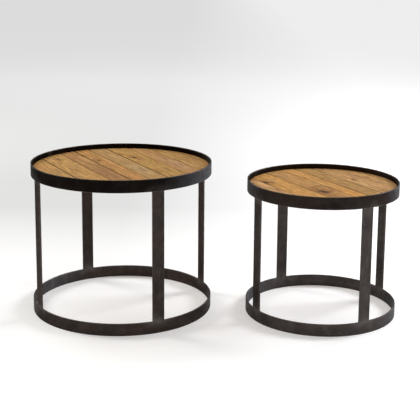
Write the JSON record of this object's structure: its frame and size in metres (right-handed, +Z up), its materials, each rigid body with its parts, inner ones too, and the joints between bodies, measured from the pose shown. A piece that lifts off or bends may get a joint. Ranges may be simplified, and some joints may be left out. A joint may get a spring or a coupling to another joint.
{
  "type": "nesting tables",
  "caption": "Pair of round nesting side tables: drum frames of flat steel bar with a raised rim round a reclaimed plank top, the large one standing over the small one when nested.",
  "frame": {"origin": "middle of the pair's footprint, on the floor", "axes": "+Z up; +X from the large table to the small one; the front is towards -Y"},
  "size_m": [1.218, 0.5999, 0.5],
  "materials": {
    "blackened_steel": "hot-rolled flat bar, blackened and waxed, satin with a mottled patina",
    "reclaimed_boards": "old pine floorboards, worn, satin oil",
    "zinc_screws": "zinc plated"
  },
  "bodies": {
    "small_table": {"small_bearer_back": "blackened_steel", "small_bearer_front": "blackened_steel", "small_board_1": "reclaimed_boards", "small_board_2": "reclaimed_boards", "small_board_3": "reclaimed_boards", "small_board_4": "reclaimed_boards", "small_board_5": "reclaimed_boards", "small_board_6": "reclaimed_boards", "small_board_7": "reclaimed_boards", "small_floor_ring": "blackened_steel", "small_leg_back_left": "blackened_steel", "small_leg_back_right": "blackened_steel", "small_leg_front_left": "blackened_steel", "small_leg_front_right": "blackened_steel", "small_screws": "zinc_screws", "small_top_ring": "blackened_steel"},
    "large_table": {"large_bearer_back": "blackened_steel", "large_bearer_front": "blackened_steel", "large_board_1": "reclaimed_boards", "large_board_2": "reclaimed_boards", "large_board_3": "reclaimed_boards", "large_board_4": "reclaimed_boards", "large_board_5": "reclaimed_boards", "large_board_6": "reclaimed_boards", "large_board_7": "reclaimed_boards", "large_board_8": "reclaimed_boards", "large_floor_ring": "blackened_steel", "large_leg_back_left": "blackened_steel", "large_leg_back_right": "blackened_steel", "large_leg_front_left": "blackened_steel", "large_leg_front_right": "blackened_steel", "large_screws": "zinc_screws", "large_top_ring": "blackened_steel"}
  },
  "joints": [
    {"name": "large_table_lift", "type": "slide", "parent": "small_table", "child": "large_table", "axis": [0, 0, 1], "range_m": [0, 0.48]}
  ]
}
